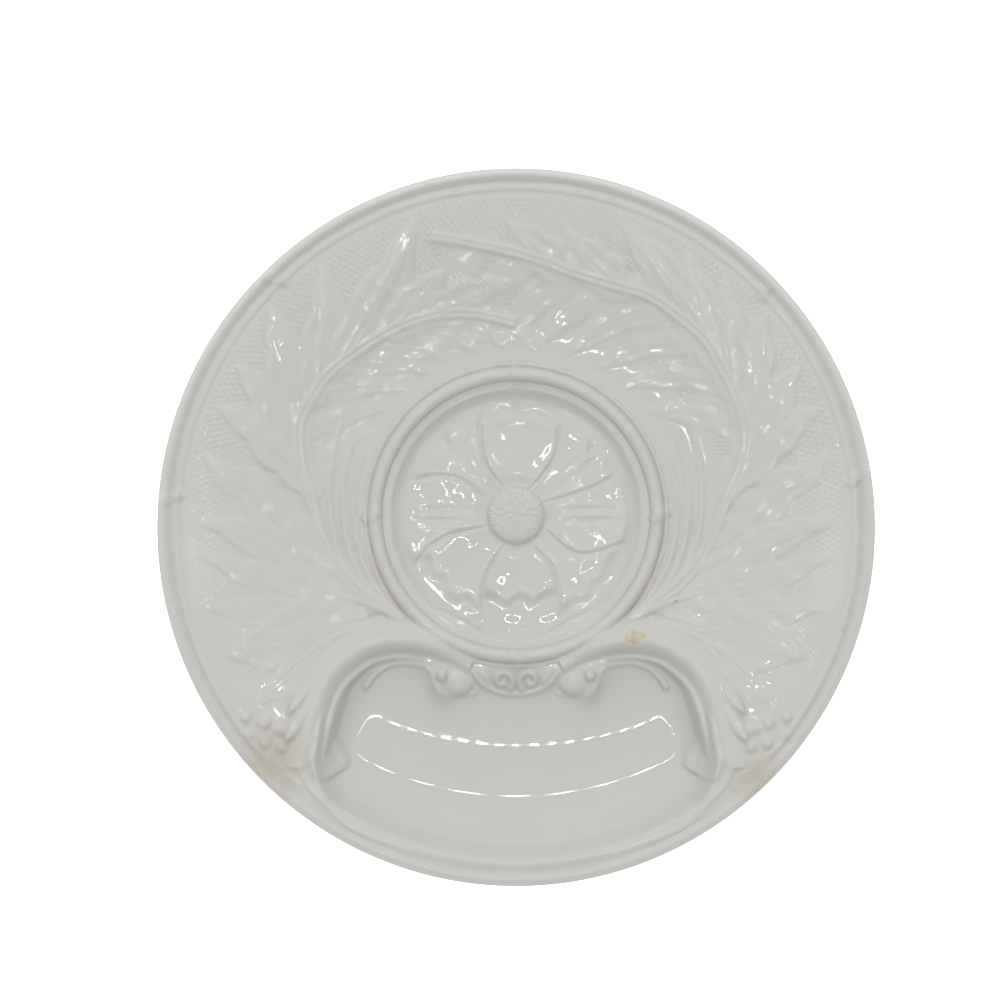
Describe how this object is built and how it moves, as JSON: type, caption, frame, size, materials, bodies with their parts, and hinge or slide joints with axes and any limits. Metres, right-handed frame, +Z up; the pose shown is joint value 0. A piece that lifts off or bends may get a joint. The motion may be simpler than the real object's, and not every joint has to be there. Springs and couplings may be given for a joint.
{
  "type": "artichoke plate",
  "caption": "Round white glazed earthenware artichoke plate with a ringed centre well, a kidney-shaped sauce basin behind scroll walls, and toothed leaves in relief on the border.",
  "frame": {"origin": "on the table, under the middle of the plate", "axes": "+Z up through the plate; the sauce basin lies towards -Y and the centre well towards +Y"},
  "size_m": [0.2398, 0.24, 0.0281],
  "materials": {
    "glaze": "glossy white glaze",
    "foot": "glazed, bare on its base"
  },
  "bodies": {
    "root": {"dish": "glaze", "foot_ring": "foot", "well_ring": "glaze", "ring_tie_right": "glaze", "ring_tie_top": "glaze", "ring_tie_left": "glaze", "ring_tie_bottom": "glaze", "rim_tie_right": "glaze", "rim_tie_upper_right": "glaze", "rim_tie_upper_left": "glaze", "rim_tie_left": "glaze", "scroll_wall_right": "glaze", "scroll_wall_left": "glaze", "cartouche": "glaze", "berry_spray_right": "glaze", "berry_spray_left": "glaze", "rosette_button": "glaze", "rosette_petal_1": "glaze", "rosette_petal_2": "glaze", "rosette_petal_3": "glaze", "rosette_petal_4": "glaze", "rosette_petal_5": "glaze", "rosette_petal_6": "glaze", "rosette_petal_7": "glaze", "rosette_petal_8": "glaze", "leaf_side_right": "glaze", "leaf_side_left": "glaze", "leaf_low_right": "glaze", "leaf_low_left": "glaze", "leaf_up_right": "glaze", "leaf_up_left": "glaze", "leaf_long_right": "glaze", "leaf_long_left": "glaze"}
  },
  "joints": []
}
